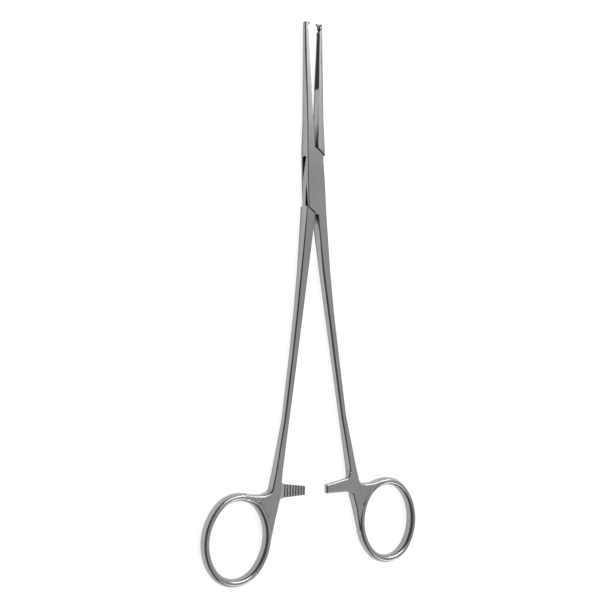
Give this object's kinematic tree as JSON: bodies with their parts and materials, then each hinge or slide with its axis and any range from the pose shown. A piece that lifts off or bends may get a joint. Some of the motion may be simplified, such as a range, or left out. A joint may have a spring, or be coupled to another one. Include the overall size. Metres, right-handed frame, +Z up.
{
  "type": "toothed box-lock artery forceps",
  "caption": "Straight locking hemostatic forceps with serrated jaws, interlocking tip teeth, box lock, ratchet arms and oval finger rings.",
  "frame": {"origin": "pivot axis on the back face of the box lock, the flat face that the instrument lies on", "axes": "+Y to the jaw tips, +Z up through the thickness, +X to the side of the jaw with the single tip tooth"},
  "size_m": [0.089, 0.2002, 0.005],
  "materials": {
    "satin_steel": "satin",
    "pin_steel": "satin, ground flush"
  },
  "bodies": {
    "female_half": {"box_half": "satin_steel", "pivot_pin": "pin_steel"},
    "male_half": {"tongue_half": "satin_steel"}
  },
  "joints": [
    {"name": "box_lock", "type": "hinge", "parent": "female_half", "child": "male_half", "pos_m": [0, 0, 0.0025], "axis": [0, 0, -1], "range_deg": [-4.7, 40]}
  ]
}
